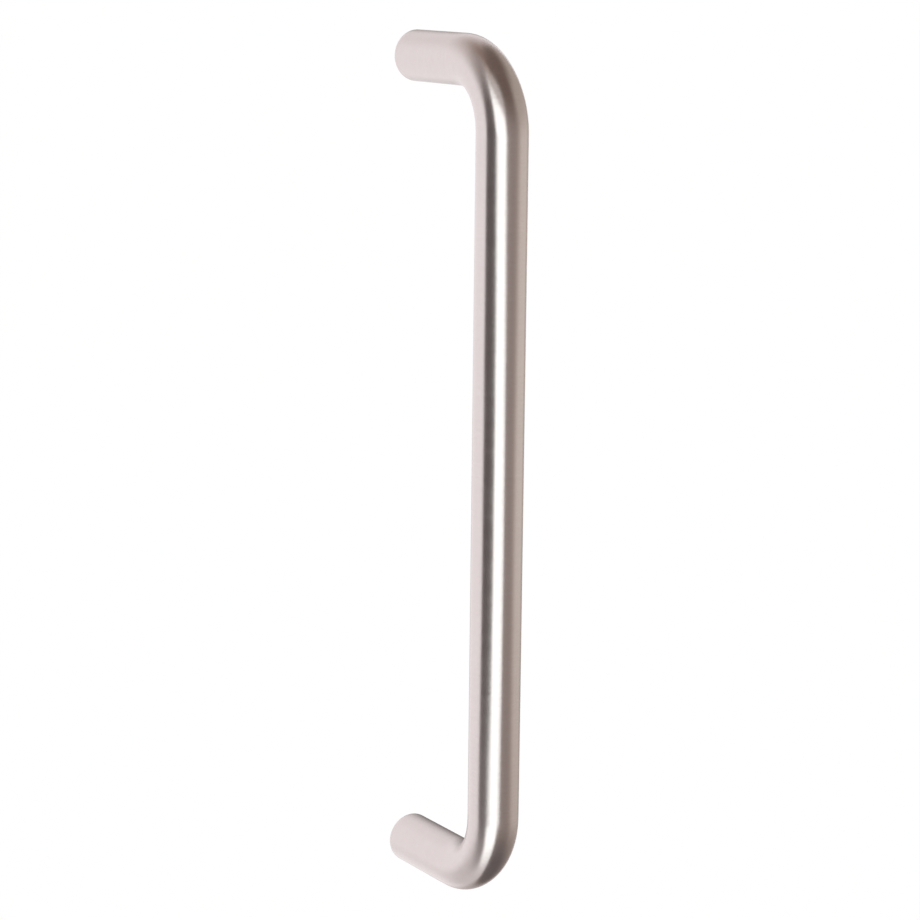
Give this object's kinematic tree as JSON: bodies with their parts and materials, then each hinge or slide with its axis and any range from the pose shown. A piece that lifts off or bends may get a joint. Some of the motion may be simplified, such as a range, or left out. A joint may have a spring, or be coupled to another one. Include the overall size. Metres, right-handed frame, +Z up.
{
  "type": "door pull handle",
  "caption": "D-shaped door pull handle of bent round satin steel tube, with threaded plugs in its ends for bolting to a door.",
  "frame": {"origin": "on the door face, midway between the two fixing holes", "axes": "+Z up along the grip, +Y into the door along the fixing holes, +X to the right of the handle as seen from the room"},
  "size_m": [0.019, 0.0698, 0.3238],
  "materials": {
    "satin_steel": "satin stainless steel, with fine lines round the tube",
    "turned_steel": "turned steel with a cut thread"
  },
  "bodies": {
    "root": {"grip_tube": "satin_steel", "upper_thread_plug": "turned_steel", "lower_thread_plug": "turned_steel"}
  },
  "joints": []
}
